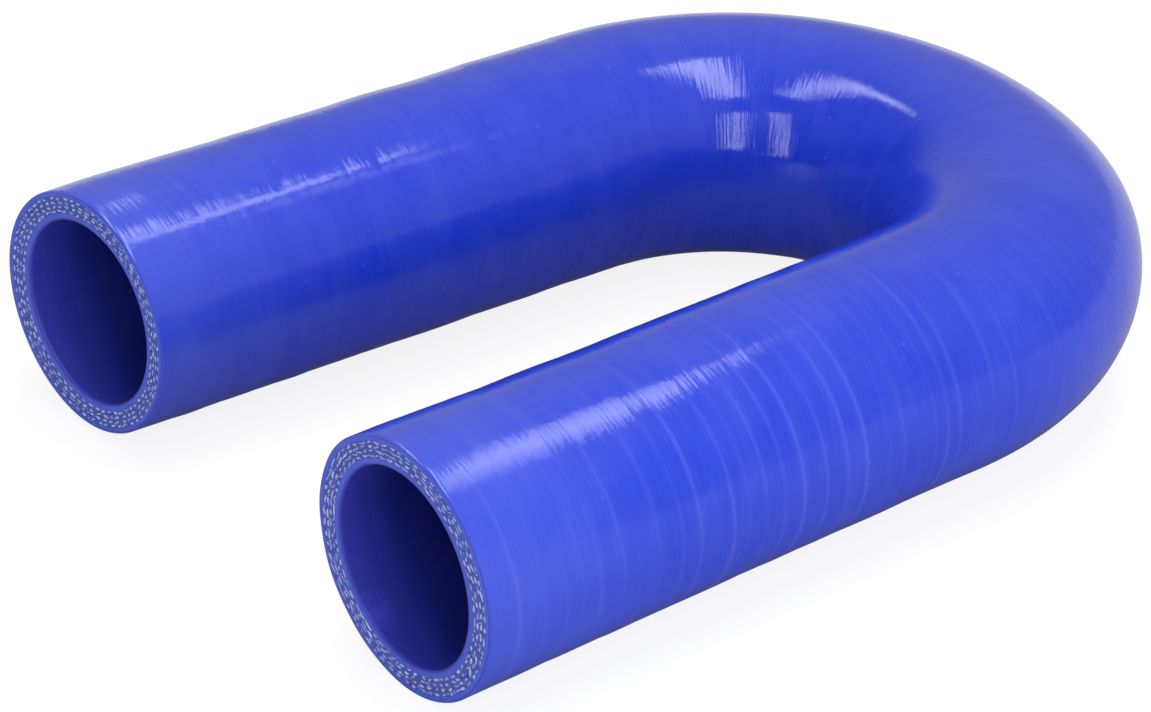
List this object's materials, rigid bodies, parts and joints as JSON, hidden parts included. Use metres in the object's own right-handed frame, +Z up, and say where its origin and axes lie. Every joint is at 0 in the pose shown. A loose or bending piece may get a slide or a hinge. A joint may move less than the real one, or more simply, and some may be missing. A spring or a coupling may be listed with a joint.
{
  "type": "silicone U-bend hose",
  "caption": "U-shaped moulded silicone hose with a cloth-reinforced wall, for joining two 32 mm coolant or air pipes with hose clamps.",
  "frame": {"origin": "middle of the outline, at the level of the ground that the hose lies on", "axes": "+X along the U, from the two mouths towards the bend; +Y across the U, from the near leg to the far leg; +Z up"},
  "size_m": [0.1786, 0.1372, 0.0445],
  "materials": {
    "silicone": "glossy cured silicone, royal blue"
  },
  "bodies": {
    "root": {"hose": "silicone"}
  },
  "joints": []
}
